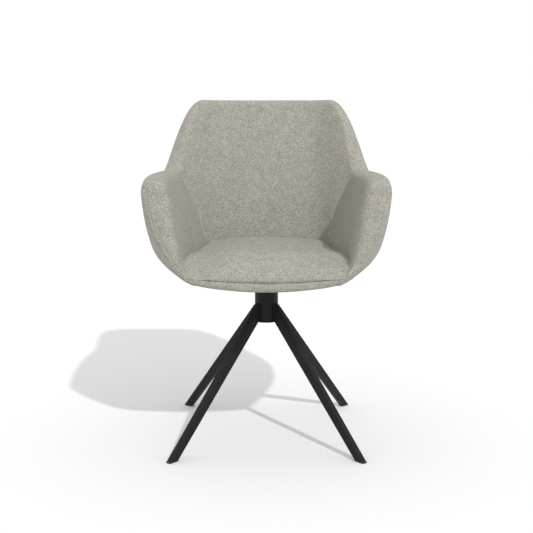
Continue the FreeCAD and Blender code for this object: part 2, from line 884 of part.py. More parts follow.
def plan_block(margin, bottom, top):
    """The plan outline as a block between two heights."""
    block = plan_outline(margin).extrude(Vector(0, 0, top - bottom))
    block.translate(Vector(0, 0, bottom))
    return block


def floor_height(across):
    """Height of the tub's underside, which rises from the middle to the feet of the walls."""
    share = across / foot_half_width("front")
    return value("underside_height") + value("underside_rise") * share * share


def dished_slab(under, over, top=None):
    """A slab whose underside follows the tub's, with a like upper face or a flat top."""
    half = foot_half_width("front") + 30
    front = value("nose_front")
    length = foot_rear() + value("pan_corner_radius") - front
    edge, centre = floor_height(half), floor_height(0)

    def bow(lift):
        ends = [Vector(sign * half, front, edge + lift) for sign in (-1, 1)]
        return Part.Arc(ends[0], Vector(0, front, centre + lift), ends[1]).toShape(), ends

    lower, lower_ends = bow(under)
    if top is None:
        upper, upper_ends = bow(over)
    else:
        upper_ends = [Vector(sign * half, front, top) for sign in (-1, 1)]
        upper = Part.LineSegment(*upper_ends).toShape()
    sides = [Part.LineSegment(low, high).toShape() for low, high in zip(lower_ends, upper_ends)]
    face = Part.Face(Part.Wire(Part.__sortEdges__([lower, upper] + sides)))
    return face.extrude(Vector(0, length, 0))


def pan_screw_places():
    """Screws through the pan's lip into the shell's foot flange."""
    inward = 0.5 * value("shell_flange")
    places = []
    for name in ("quarter", "rear"):
        for side in (-1, 1):
            places.append((side * (foot_half_width(name) - inward), value(name + "_place")))
    return places


def pan_screw_bars(radius):
    top = value("pan_top_height")
    return [round_bar(radius, top - value("pan_screw_length"), top, place) for place in pan_screw_places()]


def make_pan():
    top = value("pan_top_height")
    lip_bottom = top - value("pan_lip_thickness")
    under = value("liner_thickness") + value("layer_gap")
    lip = plan_block(-value("pan_edge_gap"), lip_bottom, top)
    core = plan_block(-value("shell_flange") - value("pan_core_gap"), value("underside_height"), top)
    core = core.common(dished_slab(under, 0, lip_bottom + 0.5 * value("pan_lip_thickness")))
    pan = lip.fuse(core).removeSplitter()
    flange = value("tee_nut_flange")
    for place, across, along in bolt_places():
        centre = (value(across), value(along))
        pan = pan.cut(round_bar(value("tee_nut_radius"), top - flange, top, centre))
        barrel_bottom = top - value("tee_nut_barrel_length")
        pan = pan.cut(round_bar(value("tee_nut_barrel_radius"), barrel_bottom, top, centre))
        pan = pan.cut(round_bar(value("bolt_radius"), value("underside_height"), top, centre))
    head = value("pan_screw_head_height")
    for bar, place in zip(pan_screw_bars(value("pan_screw_radius")), pan_screw_places()):
        pan = pan.cut(bar).cut(round_bar(value("pan_screw_head_radius"), top - head, top, place))
    node("seat_pan", part_feature("pan", pan))
    for number, place in enumerate(pan_screw_places(), start=1):
        bar = round_bar(value("pan_screw_radius"), top - value("pan_screw_length"), top, place)
        screw = bar.fuse(round_bar(value("pan_screw_head_radius"), top - head, top, place))
        node("pan_screw_%d" % number, part_feature("screw_%d" % number, screw.removeSplitter()))


def make_liner():
    outline = plan_block(-value("layer_gap"), value("underside_height") - 1, value("pan_top_height"))
    liner = outline.common(dished_slab(0, value("liner_thickness")))
    for place, across, along in bolt_places():
        centre = (value(across), value(along))
        hole = round_bar(value("bolt_radius"), value(PLATE_BOTTOM), value("pan_top_height"), centre)
        liner = liner.cut(hole)
    node("bottom_liner", part_feature("liner", liner))


def rail_loop(across, inset):
    """The rail's section in an upright plane; its ends lean out with the foot of the arm."""
    rear = value("nose_front") + value("rail_depth")
    bottom, top = floor_height(abs(across)), value("seam_height")
    corners = [(rear, bottom), (rear, top), (value("nose_front"), top), (value("nose_front"), bottom)]
    radii = [1.0, 1.0, value("seam_radius"), value("nose_radius")]
    moved = moved_in(corners, [inset] * 4)
    eased = [max(0.6, radius - inset) for radius in radii]
    lean = value("inner_undercut") / (value("inner_corner_height") - floor_height(foot_half_width("front")))
    lean *= 1 if abs(across) > 1 else 0
    side = 1 if across > 0 else -1
    foot = floor_height(abs(across))
    return rounded_loop(
        moved, eased, lambda point: Vector(across + side * lean * (point[1] - foot), point[0], point[1])
    )


def rail_solid(inset):
    half = foot_half_width("front") - value("layer_gap") - inset
    places = [half * share for share in (-1, -0.6, -0.25, 0.25, 0.6, 1)]
    return Part.makeLoft([rail_loop(across, inset) for across in places], True, True)


def make_rail():
    skin = value("cover_thickness")
    node("front_rail", part_feature("rail", rail_solid(skin + value("layer_gap"))))
    node("front_rail_cover", part_feature("rail_cover", rail_solid(0).cut(rail_solid(skin))))


def seat_half_width(along):
    """Half width of the cushion's space at the height where the walls' inner faces turn."""
    behind = along - value("rear_place")
    gap = value("seat_side_gap")
    if behind > 0:
        side = value("rear_inner_half_width") - value("corner_centre")
        share = min(1, behind / (value("back_reach_inside") - value("back_undercut") - 0.5 * gap))
        return value("corner_centre") + side * (1 - share ** INNER_SQUARENESS) ** (1 / INNER_SQUARENESS) - gap
    for name, following in zip(ARM_STATIONS, ARM_STATIONS[1:]):
        start, end = station_place(name), station_place(following)
        if along <= end:
            share = max(0, (along - start) / (end - start))
            widths = value(name + "_inner_half_width"), value(following + "_inner_half_width")
            return widths[0] + (widths[1] - widths[0]) * share - gap
    return value("rear_inner_half_width") - gap


def seat_loop(along, plane, bottom, crown, side_drop, inset):
    """The cushion's section square to Y: drawn-in sides, round edges and a crowned top."""
    half = seat_half_width(along) - inset
    turn = value("inner_corner_height")
    lean = value("inner_undercut") / (turn - value("foot_height"))
    edge = crown - side_drop
    waist = max(bottom + inset + 1.5, min(turn, edge - 6))
    low = half - lean * (waist - bottom - inset)
    foot = half - lean * (turn - bottom - inset)
    brow = half - lean * (turn - waist)
    corners = [
        (foot, bottom + inset),
        (brow, waist),
        (brow - 1, edge - inset),
        (0.45 * half, crown - 0.25 * side_drop - inset),
        (-0.45 * half, crown - 0.25 * side_drop - inset),
        (1 - brow, edge - inset),
        (-brow, waist),
        (-foot, bottom + inset),
    ]
    edge_radius = max(0.8, min(value("seat_edge_radius"), edge - waist) - inset)
    soft = 3 * value("seat_edge_radius")
    radii = [0.8, 2, edge_radius, soft, soft, edge_radius, 2, 0.8]
    return rounded_loop(corners, radii, lambda point: Vector(point[0], plane, point[1]))


def pan_front():
    return value("nose_front") + value("rail_depth") + value("layer_gap")


def seat_bottom(along):
    """The cushion rests on the pan, and in front of it on the rail."""
    on_rail = along < pan_front() - 2 * value("layer_gap")
    return value("seam_height" if on_rail else "pan_top_height") + value("layer_gap")


def seat_crown(along):
    """Height of the cushion on the middle plane: a rounded front, and a fall to the back."""
    share = min(1, (along - value("nose_front")) / value("seat_front_round"))
    front = math.sqrt(1 - (1 - share) ** 2)
    rise = (value("seat_crown_height") - value("seam_height")) * front
    behind = max(0, along - value("hip_place")) / (seat_rear() - value("hip_place"))
    return value("seam_height") + rise - value("seat_rear_drop") * behind ** 3


def seat_rear():
    return foot_rear() - value("seat_side_gap")


def seat_places():
    """Stations of the cushion, closer together where its front and its rear corners round."""
    front, lift = value("nose_front"), pan_front()
    round_length = value("seat_front_round")
    places = [front + round_length * share for share in (0.025, 0.08, 0.17)]
    places += [lift - 5, lift - value("layer_gap"), front + round_length * 0.6, front + round_length]
    places += [value("elbow_place"), value("hip_place"), value("rear_place")]
    places += [seat_rear() - 34, seat_rear() - 18, seat_rear() - 7, seat_rear() - 1]
    return places


def seat_solid(inset):
    places = seat_places()
    loops = []
    for along in places:
        bottom, crown = seat_bottom(along), seat_crown(along)
        drop = min(value("seat_side_drop"), 0.5 * (crown - bottom - 4))
        plane = along + inset * ((along == places[0]) - (along == places[-1]))
        loops.append(seat_loop(along, plane, bottom, crown, drop, inset))
    return Part.makeLoft(loops, True, True)


def make_seat_cushion():
    skin = value("cover_thickness")
    node("seat_foam", part_feature("cushion", seat_solid(skin + value("layer_gap"))))
    node("seat_cover", part_feature("cushion_cover", seat_solid(0).cut(seat_solid(skin))))


make_legs()
make_column()
make_swivel()
make_plate()
make_bolts()
make_seat_shell()
make_walls()
make_pan()
make_liner()
make_rail()
make_seat_cushion()

doc.recompute()
for piece in doc.Objects:
    if "Invalid" in piece.State or "Error" in piece.State:
        raise RuntimeError("%s failed: %s" % (piece.Name, piece.State))
os.makedirs("parts", exist_ok=True)
for label, piece in NODES.items():
    if piece.Shape.isNull() or not piece.Shape.isValid():
        raise RuntimeError("%s has no valid shape" % label)
    piece.Shape.exportStep(os.path.join("parts", label + ".step"))
print(len(NODES), "pieces")
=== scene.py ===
"""Looks of the upholstered tub chair: fabric, seams, stitching, powder coat, camera and light."""
import bmesh
import bpy
import json
import math
import numpy as np
from mathutils import Euler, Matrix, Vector
from mathutils.bvhtree import BVHTree
from mathutils.kdtree import KDTree


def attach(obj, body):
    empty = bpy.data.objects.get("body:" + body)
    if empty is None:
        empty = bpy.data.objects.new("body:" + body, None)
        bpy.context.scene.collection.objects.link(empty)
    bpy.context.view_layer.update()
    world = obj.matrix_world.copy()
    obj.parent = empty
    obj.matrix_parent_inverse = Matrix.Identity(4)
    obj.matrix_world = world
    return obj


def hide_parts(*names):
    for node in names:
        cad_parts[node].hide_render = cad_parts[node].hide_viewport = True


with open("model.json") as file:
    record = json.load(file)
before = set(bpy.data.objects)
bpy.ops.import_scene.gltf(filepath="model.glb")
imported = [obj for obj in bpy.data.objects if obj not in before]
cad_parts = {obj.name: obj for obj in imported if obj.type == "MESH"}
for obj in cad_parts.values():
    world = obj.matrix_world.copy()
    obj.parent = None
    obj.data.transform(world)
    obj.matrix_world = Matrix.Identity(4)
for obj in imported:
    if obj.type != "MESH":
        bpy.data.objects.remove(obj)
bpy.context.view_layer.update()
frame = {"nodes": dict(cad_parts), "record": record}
scene = bpy.context.scene

# Sizes in millimetres, as in the part's source

CORNER_CENTRE = 100
REAR_PLACE = 68
NOSE_FRONT = -307
NOSE_DEPTH = 20
FOOT_HEIGHT = 418
SEAM_ANGLE = 135
NOSE_ANGLES = (90, 78, 66, 54, 42, 30, 20, 10)
INNER_NOSE_SHARE = 0.8

# The front border: heights of its bottom and of its seam, by distance from the middle
BORDER_PLACES = (0, 39, 73, 107, 124, 141, 158, 176)
BORDER_BOTTOM = (409, 409.4, 411.9, 415.5, 418, 421, 425.3, 431.5)
BORDER_REACH = 158
BORDER_REAR = -275
SEAM_PLACES = (0, 56, 122, 148, 163, 186)
SEAM_HEIGHTS = (432, 434.5, 440, 444, 448, 457)

# The arms, by place along Y: half widths low, middle, rim and inside, then heights low and rim
ARM_SIZES = {
    -287: (196, 261, 271, 182, 441, 655),
    -192: (231, 279, 281, 179, 435, 659),
    -92: (258, 293, 286, 172, 431, 660),
    8: (272, 299, 290, 162, 429, 660),
    68: (268, 296, 284, 156, 429, 662),
}
BACK_REACH = {"low": 152, "middle": 184, "rim": 243, "inner": 76}
BACK_SQUARENESS = {"low": 2.3, "middle": 1.95, "rim": 1.95, "inner": 3.0}
BACK_TOP = 850
BACK_RISE = (163, 111)
MIDDLE_HEIGHT = 560
WALL_THICK = 58

# Points on each rounded corner and each edge of a wall's section, and the rim's point among them
ARC_STEPS = 8
EDGE_STEPS = (5, 8, 8, 3, 14, 6)
RIM_POINT = (ARC_STEPS + 1) * 3 + sum(EDGE_STEPS[:3]) - 1

# The camera, and the seam between arm and back as it is seen: pixels across from the middle, and down
CAMERA_LENS = 57.0
CAMERA_PLACE = (0, -2.083, 0.7178)
CAMERA_TILT = 8
FOCUS_PIXELS = 843.9
PICTURE_MIDDLE = 266
SEAM_SIGHT = (
    (60.5, 238), (62.9, 229), (65.2, 218), (66.8, 212), (69, 205),
    (71.5, 198), (74, 192), (77.5, 185), (81.5, 178), (85, 174),
)

# Light and colours
SUN_ENERGY = 1.8
SUN_WIDTH = 1.5
SUN_DIRECTION = (-0.53, 1.107, -1)
FLOOR_TONE = 0.77
CLOTH_COLOUR = (0.3, 0.287, 0.248)
# Lighter than the cloth: the real thread colour on the stitches, and a painted highlight line on the
# welts
THREAD_AND_HIGHLIGHT_COLOUR = (0.4, 0.386, 0.335)

# Fineness of the remeshed upholstery, in metres
WALL_VOXEL = 0.0042
SEAT_VOXEL = 0.0045
CLOTH_FRAMES = 20

# Stitches beside the border seam, and the fold along the seams between arms and back
STITCH_PITCH = 5.6
STITCH_LENGTH = 0.0042
STITCH_THICK = 0.0005
STITCH_BESIDE = 0.0034
STITCH_RINGS = ((-0.5, 0.35, 0.35), (-0.3, 1, 0), (0.3, 1, 0), (0.5, 0.35, 0.35))
STITCH_SIDES = 6
WELT_THICK = 0.0012
WELT_SIDES = 8
MILLIMETRE = 0.001


# Helpers

def select_only(piece):
    bpy.ops.object.select_all(action="DESELECT")
    piece.select_set(True)
    bpy.context.view_layer.objects.active = piece


def new_piece(name, vertices, faces):
    """A mesh object from points in metres, its faces turned outwards, linked to the scene."""
    mesh = bpy.data.meshes.new(name)
    mesh.from_pydata([tuple(vertex) for vertex in vertices], [], [list(face) for face in faces])
    shape = bmesh.new()
    shape.from_mesh(mesh)
    bmesh.ops.recalc_face_normals(shape, faces=shape.faces)
    shape.to_mesh(mesh)
    shape.free()
    mesh.update()
    piece = bpy.data.objects.new(name, mesh)
    scene.collection.objects.link(piece)
    return piece


def apply_modifier(piece, kind, **settings):
    modifier = piece.modifiers.new(kind.title(), kind)
    for setting, choice in settings.items():
        setattr(modifier, setting, choice)
    select_only(piece)
    bpy.ops.object.modifier_apply(modifier=modifier.name)


def points_of(piece):
    points = np.empty(len(piece.data.vertices) * 3)
    piece.data.vertices.foreach_get("co", points)
    return points.reshape(-1, 3)


def set_points(piece, points):
    piece.data.vertices.foreach_set("co", np.asarray(points, dtype=float).ravel())
    piece.data.update()


def normals_of(piece):
    normals = np.empty(len(piece.data.vertices) * 3)
    piece.data.vertices.foreach_get("normal", normals)
    return normals.reshape(-1, 3)


def copy_of(name, *nodes):
    """One mesh from copies of CAD nodes, with their doubles merged."""
    joined = bmesh.new()
    for node in nodes:
        joined.from_mesh(frame["nodes"][node].data)
    bmesh.ops.remove_doubles(joined, verts=joined.verts, dist=0.00001)
    mesh = bpy.data.meshes.new(name)
    joined.to_mesh(mesh)
    joined.free()
    piece = bpy.data.objects.new(name, mesh)
    scene.collection.objects.link(piece)
    return piece


# Camera at the photograph's viewpoint

def make_camera():
    data = bpy.data.cameras.new("camera")
    data.sensor_width = 36
    data.lens = CAMERA_LENS
    camera = bpy.data.objects.new("camera", data)
    scene.collection.objects.link(camera)
    camera.location = CAMERA_PLACE
    camera.rotation_euler = (math.radians(90 - CAMERA_TILT), 0, 0)
    scene.camera = camera


def make_floor():
    """A pale matt floor that runs out of the picture."""
    corners = [(-9, -9, 0), (9, -9, 0), (9, 14, 0), (-9, 14, 0)]
    floor = new_piece("floor", corners, [(0, 1, 2, 3)])
    material = bpy.data.materials.new("studio_floor")
    material.use_nodes = True
    shader = material.node_tree.nodes["Principled BSDF"]
    shader.inputs["Base Color"].default_value = (FLOOR_TONE, FLOOR_TONE, FLOOR_TONE, 1)
    shader.inputs["Roughness"].default_value = 1
    shader.inputs["Specular IOR Level"].default_value = 0
    floor.data.materials.append(material)


def make_lights():
    """A soft sun from the front right, over an even white surround."""
    sun_data = bpy.data.lights.new("key", "SUN")
    sun_data.energy = SUN_ENERGY
    sun_data.angle = math.radians(SUN_WIDTH)
    sun = bpy.data.objects.new("key", sun_data)
    sun.rotation_euler = Vector(SUN_DIRECTION).to_track_quat("-Z", "Y").to_euler()
    scene.collection.objects.link(sun)
    world = bpy.data.worlds.new("studio")
    world.use_nodes = True
    surround = world.node_tree.nodes["Background"]
    surround.inputs["Color"].default_value = (1, 1, 1, 1)
    surround.inputs["Strength"].default_value = 1.0
    scene.world = world
    scene.view_settings.view_transform = "Standard"


# The walls' smooth form, from the same stations as the solids

def smooth_between(table, place):
    """Sizes at a place, by cubic curves through the table's rows."""
    places = sorted(table)
    rows = np.array([table[key] for key in places], float)
    slopes = np.zeros_like(rows)
    for index in range(1, len(places) - 1):
        span = places[index + 1] - places[index - 1]
        slopes[index] = (rows[index + 1] - rows[index - 1]) / span
    slopes[0] = (rows[1] - rows[0]) / (places[1] - places[0])
    place = min(max(place, places[0]), places[-1])
    index = min(max(np.searchsorted(places, place) - 1, 0), len(places) - 2)
    width = places[index + 1] - places[index]
    share = (place - places[index]) / width
    square, cube = share ** 2, share ** 3
    return (
        (2 * cube - 3 * square + 1) * rows[index]
        + (cube - 2 * square + share) * width * slopes[index]
        + (3 * square - 2 * cube) * rows[index + 1]
        + (cube - square) * width * slopes[index + 1]
    )


def oval(side, depth, squareness, angle):
    """Reach of a squarish oval at an angle."""
    across = abs(math.cos(angle)) / side
    along = abs(math.sin(angle)) / depth
    return (across ** squareness + along ** squareness) ** (-1 / squareness)


def wall_corners(place):
    """Corners and radii of the wall's section; a place is along Y on the arm, then in degrees."""
    if place <= REAR_PLACE:
        low, middle, rim, inner, low_height, rim_height = smooth_between(ARM_SIZES, place)
        reach = [width - CORNER_CENTRE for width in (low, middle, rim, inner)]
        middle_height, thick = MIDDLE_HEIGHT, WALL_THICK
        undercut, round_low = 34, 97
    else:
        degrees = 180 - (place - REAR_PLACE)
        low, middle, rim, inner, low_height, side_rim = ARM_SIZES[REAR_PLACE]
        angle, share = math.radians(degrees), (180 - degrees) / 90
        rise = (BACK_RISE[0] - degrees) / (BACK_RISE[0] - BACK_RISE[1])
        rise = max(0, min(1, rise))
        rise = rise * rise * (3 - 2 * rise)
        rim_height = side_rim + (BACK_TOP - side_rim) * rise
        widths = {"low": low, "middle": middle, "rim": rim, "inner": inner}
        reach = [
            oval(width - CORNER_CENTRE, BACK_REACH[part], BACK_SQUARENESS[part], angle)
            for part, width in widths.items()
        ]
        middle_height = MIDDLE_HEIGHT + 0.5 * (rim_height - side_rim)
        thick = WALL_THICK - 16 * share
        undercut = 34 - 28 * share
        round_low = 97 - 12 * share
    corners = np.array([
        (reach[3] - undercut, FOOT_HEIGHT),
        (reach[0], low_height),
        (reach[1], middle_height),
        (reach[2], rim_height),
        (reach[2] - thick, rim_height - 3),
        (reach[3], 468),
    ])
    return corners, [3, round_low, 300, 0.47 * thick, 0.47 * thick, 40]


def moved_in(corners, distances):
    """Each edge of a closed outline moved in by its own distance."""
    count = len(corners)
    ways = [corners[(index + 1) % count] - corners[index] for index in range(count)]
    ways = [way / np.hypot(*way) for way in ways]
    inwards = [np.array((-way[1], way[0])) for way in ways]
    starts = [corners[i] + distances[i] * inwards[i] for i in range(count)]
    moved = []
    for index in range(count):
        before, way = ways[index - 1], ways[index]
        gap = starts[index] - starts[index - 1]
        cross = before[0] * way[1] - before[1] * way[0]
        share = (gap[0] * way[1] - gap[1] * way[0]) / cross
        moved.append(starts[index - 1] + before * share)
    return np.array(moved)


def rounded(corners, radii):
    """Points round a closed outline with its corners rounded, always in the same number."""
    count = len(corners)
    lengths = [np.hypot(*(corners[(i + 1) % count] - corners[i])) for i in range(count)]
    turns, tangents = [], []
    for index in range(count):
        before = corners[index] - corners[index - 1]
        after = corners[(index + 1) % count] - corners[index]
        turn = math.atan2(before[0] * after[1] - before[1] * after[0], before @ after)
        turns.append(turn)
        tangents.append(abs(radii[index] * math.tan(turn / 2)))
    fits = []
    for index in range(count):
        wanted = tangents[index] + tangents[(index + 1) % count]
        fits.append(min(1, 0.96 * lengths[index] / max(wanted, 0.001)))
    points, ends = [], []
    for index in range(count):
        tangent = tangents[index] * min(fits[index - 1], fits[index])
        into = (corners[index] - corners[index - 1]) / lengths[index - 1]
        out = (corners[(index + 1) % count] - corners[index]) / lengths[index]
        start, end = corners[index] - into * tangent, corners[index] + out * tangent
        arc = []
        reach = tangent / math.tan(abs(turns[index]) / 2) if abs(turns[index]) > 0.001 else 0
        normal = np.array((-into[1], into[0])) * (1 if turns[index] > 0 else -1)
        for step in range(ARC_STEPS + 1):
            share = step / ARC_STEPS
            angle = turns[index] * share
            if reach:
                way = normal + into * math.sin(abs(angle)) - normal * math.cos(angle)
                arc.append(start + reach * way)
            else:
                arc.append(start + (end - start) * share)
        ends.append(arc)
    for index in range(count):
        arc, following = ends[index], ends[(index + 1) % count]
        points.extend(arc)
        steps = EDGE_STEPS[index]
        for step in range(1, steps):
            points.append(arc[-1] + (following[0] - arc[-1]) * step / steps)
    return np.array(points)


def wall_ring(place, side, nose=0, along=None):
    """The wall's section at a place, as points in space; the nose draws it in at the arm's front."""
    corners, radii = wall_corners(place)
    turned_in = [nose, nose, nose, nose, INNER_NOSE_SHARE * nose, 0]
    eased = [max(1, radius - change) for radius, change in zip(radii, turned_in)]
    outline = rounded(moved_in(corners, turned_in), eased)
    if place <= REAR_PLACE:
        across = CORNER_CENTRE + outline[:, 0]
        depth = np.full(len(outline), place if along is None else along)
    else:
        angle = math.radians(180 - (place - REAR_PLACE))
        across = CORNER_CENTRE - outline[:, 0] * math.cos(angle)
        depth = REAR_PLACE + outline[:, 0] * math.sin(angle)
    return np.column_stack([side * across, depth, outline[:, 1]])


def nose_rings(side):
    """Sections round the arm's blunt front, from its flat face back to the first station."""
    rings = []
    for degrees in NOSE_ANGLES:
        angle = math.radians(degrees)
        along = NOSE_FRONT + NOSE_DEPTH - NOSE_DEPTH * math.sin(angle)
        nose = NOSE_DEPTH * (1 - math.cos(angle))
        rings.append(wall_ring(min(ARM_SIZES), side, nose, along))
    return rings


def wall_places():
    """Places from the front station to the corner, and on round to the middle of the back."""
    arm = list(np.linspace(min(ARM_SIZES), REAR_PLACE, 30))
    corner = [REAR_PLACE + degrees for degrees in np.arange(3, 90.1, 3)]
    return arm + corner


def skinned(name, rings):
    """A closed piece over a row of rings, given in millimetres."""
    count = len(rings[0])
    faces = []
    for ring in range(len(rings) - 1):
        for index in range(count):
            a, b = ring * count + index, ring * count + (index + 1) % count
            faces.append((a, b, b + count, a + count))
    faces.append(list(range(count))[::-1])
    faces.append([(len(rings) - 1) * count + index for index in range(count)])
    return new_piece(name, np.vstack(rings) * MILLIMETRE, faces)


def make_walls():
    """One closed form from nose to nose round the back."""
    left = nose_rings(-1) + [wall_ring(place, -1) for place in wall_places()[:-1]]
    right = nose_rings(1) + [wall_ring(place, 1) for place in wall_places()[:-1]]
    middle = wall_ring(REAR_PLACE + 90, 1)
    middle[:, 0] = 0
    return skinned("walls", left + [middle] + right[::-1])


def front_border():
    """The strip under the cushion's front, from arm to arm, its seam edge rising to the sides."""
    rings = []
    front = NOSE_FRONT + 1
    for across in np.linspace(-BORDER_REACH, BORDER_REACH, 45):
        bottom = float(np.interp(abs(across), BORDER_PLACES, BORDER_BOTTOM))
        top = seam_height(across)
        outline = np.array([(BORDER_REAR, bottom), (BORDER_REAR, top), (front, top), (front, bottom)])
        ring = rounded_box(outline, (2, 2, 4, 15))
        rings.append(np.column_stack([np.full(len(ring), across), ring]))
    return skinned("border", rings)


def seam_height(across):
    """Height of the border's seam on the front."""
    return float(np.interp(abs(across), SEAM_PLACES, SEAM_HEIGHTS))


def rounded_box(corners, radii):
    """Points round a closed four-cornered outline, its corners rounded."""
    points = []
    count = len(corners)
    for index in range(count):
        before = corners[index - 1] - corners[index]
        after = corners[(index + 1) % count] - corners[index]
        before, after = before / np.hypot(*before), after / np.hypot(*after)
        radius = radii[index]
        centre = corners[index] + (before + after) * radius
        for step in range(7):
            angle = math.pi / 2 * step / 6
            points.append(centre - after * radius * math.cos(angle) - before * radius * math.sin(angle))
    return np.array(points)


def join(name, pieces):
    select_only(pieces[0])
    for piece in pieces:
        piece.select_set(True)
    bpy.ops.object.join()
    pieces[0].name = name
    return pieces[0]


def puff(piece, pressure, cap, held):
    """A short cloth simulation under pressure, the held points fixed, none moved beyond the cap."""
    start = points_of(piece)
    group = piece.vertex_groups.new(name="held")
    group.add([int(index) for index in held], 1.0, "REPLACE")
    modifier = piece.modifiers.new("Cloth", "CLOTH")
    settings = modifier.settings
    settings.quality = 4
    settings.mass = 0.4
    settings.use_pressure = True
    settings.uniform_pressure_force = pressure
    settings.tension_stiffness = 20
    settings.compression_stiffness = 20
    settings.shear_stiffness = 10
    settings.bending_stiffness = 4
    settings.effector_weights.gravity = 0
    settings.vertex_group_mass = "held"
    modifier.point_cache.frame_start = 1
    modifier.point_cache.frame_end = CLOTH_FRAMES
    for number in range(1, CLOTH_FRAMES + 1):
        scene.frame_set(number)
    graph = bpy.context.evaluated_depsgraph_get()
    shaped = piece.evaluated_get(graph)
    moved = np.empty(len(shaped.data.vertices) * 3)
    shaped.data.vertices.foreach_get("co", moved)
    moved = moved.reshape(-1, 3)
    piece.modifiers.remove(modifier)
    piece.vertex_groups.remove(group)
    scene.frame_set(1)
    way = moved - start
    reach = np.linalg.norm(way, axis=1, keepdims=True)
    set_points(piece, start + way * np.minimum(1, cap / np.maximum(reach, 1e-9)))


def surface_of(piece):
    """The piece's surface, to cast rays on and to find the nearest place of."""
    shape = bmesh.new()
    shape.from_mesh(piece.data)
    surface = BVHTree.FromBMesh(shape)
    shape.free()
    return surface


def nearest(surfaces, target):
    """The nearest place on any of the surfaces, and its normal."""
    hits = [surface.find_nearest(target) for surface in surfaces]
    return min(hits, key=lambda hit: hit[3])[:2]


def way_along(line, index):
    """The line's direction at one of its points."""
    way = line[index + 2] - line[index - 2]
    return Vector(way / max(np.linalg.norm(way), 1e-9))


def seam_line(side):
    """The border seam of one side, from the front's foot up the nose and back along the rim."""
    outline = wall_ring(min(ARM_SIZES), side)
    points = []
    for index in range(ARC_STEPS + 3, RIM_POINT):
        inside = float(np.interp(outline[index][2], (441, 500), (20, 12.5)))
        points.append(wall_ring(min(ARM_SIZES), side, inside, NOSE_FRONT + 1)[index])
    points += [ring[RIM_POINT] for ring in nose_rings(side)[2:]]
    points += [wall_ring(place, side)[RIM_POINT] for place in wall_places()[:-1]]
    return points


def back_seam(side, surface):
    """The seam between an arm and the back, where the camera's sight lines meet the surface."""
    points = []
    for across, down in SEAM_SIGHT:
        way = Vector((side * across, FOCUS_PIXELS, PICTURE_MIDDLE - down))
        way.rotate(Euler((math.radians(-CAMERA_TILT), 0, 0)))
        hit = surface.ray_cast(scene.camera.location, way.normalized())
        if hit[0]:
            points.append(np.array(hit[0]) / MILLIMETRE)
    return points


def densely(points, gap=1.5):
    """Points along a line no further apart than the gap, in millimetres."""
    points = [np.array(point, float) for point in points]
    line = [points[0]]
    for start, end in zip(points, points[1:]):
        steps = max(1, int(np.linalg.norm(end - start) / gap))
        line.extend(start + (end - start) * step / steps for step in range(1, steps + 1))
    return line


def press_along(piece, lines):
    """Sinks the surface along the lines: a soft valley with a sharper crease at its bottom."""
    marks = [point * MILLIMETRE for line in lines for point in line]
    tree = KDTree(len(marks))
    for index, mark in enumerate(marks):
        tree.insert(mark, index)
    tree.balance()
    points, normals = points_of(piece), normals_of(piece)
    sink = np.zeros(len(points))
    for index, point in enumerate(points):
        distance = tree.find(point)[2]
        if distance < 0.04:
            sink[index] = 0.0018 * math.exp(-(distance / 0.012) ** 2)
            sink[index] += 0.0016 * math.exp(-(distance / 0.0026) ** 2)
    set_points(piece, points - normals * sink[:, None])


def fabric(name, base):
    """Boucle: small curled loops of pale and darker yarn, with a soft sheen at a grazing angle."""
    material = bpy.data.materials.new(name)
    material.use_nodes = True
    nodes, links = material.node_tree.nodes, material.node_tree.links
    shader = nodes["Principled BSDF"]
    place = nodes.new("ShaderNodeTexCoord")
    loops = nodes.new("ShaderNodeTexNoise")
    loops.inputs["Scale"].default_value = 420
    loops.inputs["Detail"].default_value = 2
    loops.inputs["Roughness"].default_value = 0.6
    loops.inputs["Distortion"].default_value = 0.4
    clouds = nodes.new("ShaderNodeTexNoise")
    clouds.inputs["Scale"].default_value = 45
    clouds.inputs["Detail"].default_value = 2
    curls = nodes.new("ShaderNodeTexVoronoi")
    curls.inputs["Scale"].default_value = 520
    yarn = nodes.new("ShaderNodeValToRGB")
    yarn.color_ramp.elements[0].position = 0.34
    yarn.color_ramp.elements[0].color = (*[part * 0.62 for part in base], 1)
    yarn.color_ramp.elements[1].position = 0.66
    yarn.color_ramp.elements[1].color = (*[part * 1.38 for part in base], 1)
    tone = nodes.new("ShaderNodeMixRGB")
    tone.blend_type = "MULTIPLY"
    tone.inputs["Fac"].default_value = 1
    patch = nodes.new("ShaderNodeMapRange")
    patch.inputs["From Min"].default_value = 0.3
    patch.inputs["From Max"].default_value = 0.7
    patch.inputs["To Min"].default_value = 0.94
    patch.inputs["To Max"].default_value = 1.06
    height = nodes.new("ShaderNodeMath")
    height.operation = "SUBTRACT"
    bump = nodes.new("ShaderNodeBump")
    bump.inputs["Strength"].default_value = 0.6
    bump.inputs["Distance"].default_value = 0.0012
    for texture in (loops, clouds, curls):
        links.new(place.outputs["Object"], texture.inputs["Vector"])
    links.new(loops.outputs["Fac"], yarn.inputs["Fac"])
    links.new(clouds.outputs["Fac"], patch.inputs["Value"])
    links.new(yarn.outputs["Color"], tone.inputs[1])
    links.new(patch.outputs["Result"], tone.inputs[2])
    links.new(tone.outputs["Color"], shader.inputs["Base Color"])
    links.new(loops.outputs["Fac"], height.inputs[0])
    links.new(curls.outputs["Distance"], height.inputs[1])
    links.new(height.outputs["Value"], bump.inputs["Height"])
    links.new(bump.outputs["Normal"], shader.inputs["Normal"])
    shader.inputs["Roughness"].default_value = 0.95
    shader.inputs["Specular IOR Level"].default_value = 0.15
    shader.inputs["Sheen Weight"].default_value = 0.12
    shader.inputs["Sheen Roughness"].default_value = 0.5
    shader.inputs["Sheen Tint"].default_value = (0.92, 0.84, 0.84, 1)
    return material


